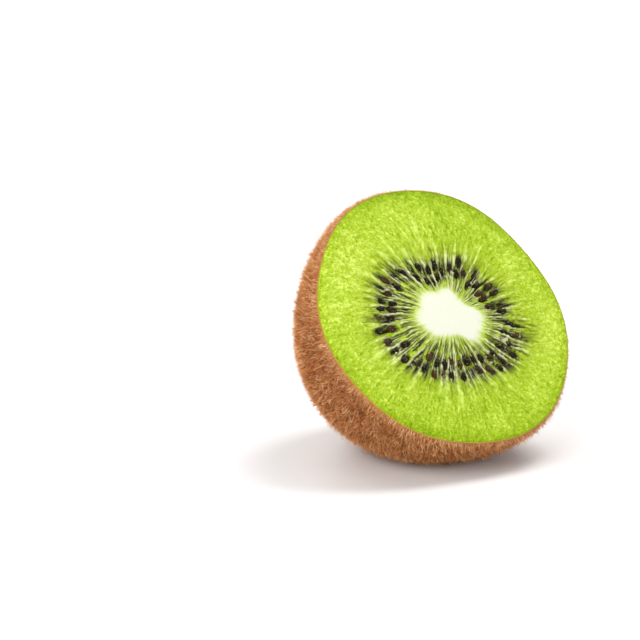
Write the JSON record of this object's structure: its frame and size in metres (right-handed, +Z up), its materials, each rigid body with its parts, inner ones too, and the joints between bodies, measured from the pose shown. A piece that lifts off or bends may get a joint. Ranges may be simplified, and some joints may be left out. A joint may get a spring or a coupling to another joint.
{
  "type": "kiwi fruit half",
  "caption": "Half of a kiwi fruit cut straight across, with green flesh, a pale core, a ring of dark seeds and a fuzzy brown skin.",
  "frame": {"origin": "middle of the small flat spot of skin that the half rests on", "axes": "+Z up, the cut face looks towards -Y and up, 55 degrees back from level, +X to the right as seen from in front of the cut face"},
  "size_m": [0.0525, 0.0468, 0.05],
  "materials": {
    "flesh": "wet, finely grained, slightly translucent green flesh",
    "core": "smooth moist cream core",
    "seed": "wet near-black seed coat",
    "skin": "thin dry brown skin",
    "fuzz": "dense short bristly brown hairs",
    "scab": "dry dark crumpled scab"
  },
  "bodies": {
    "root": {"kiwi_half": "flesh"}
  },
  "joints": []
}
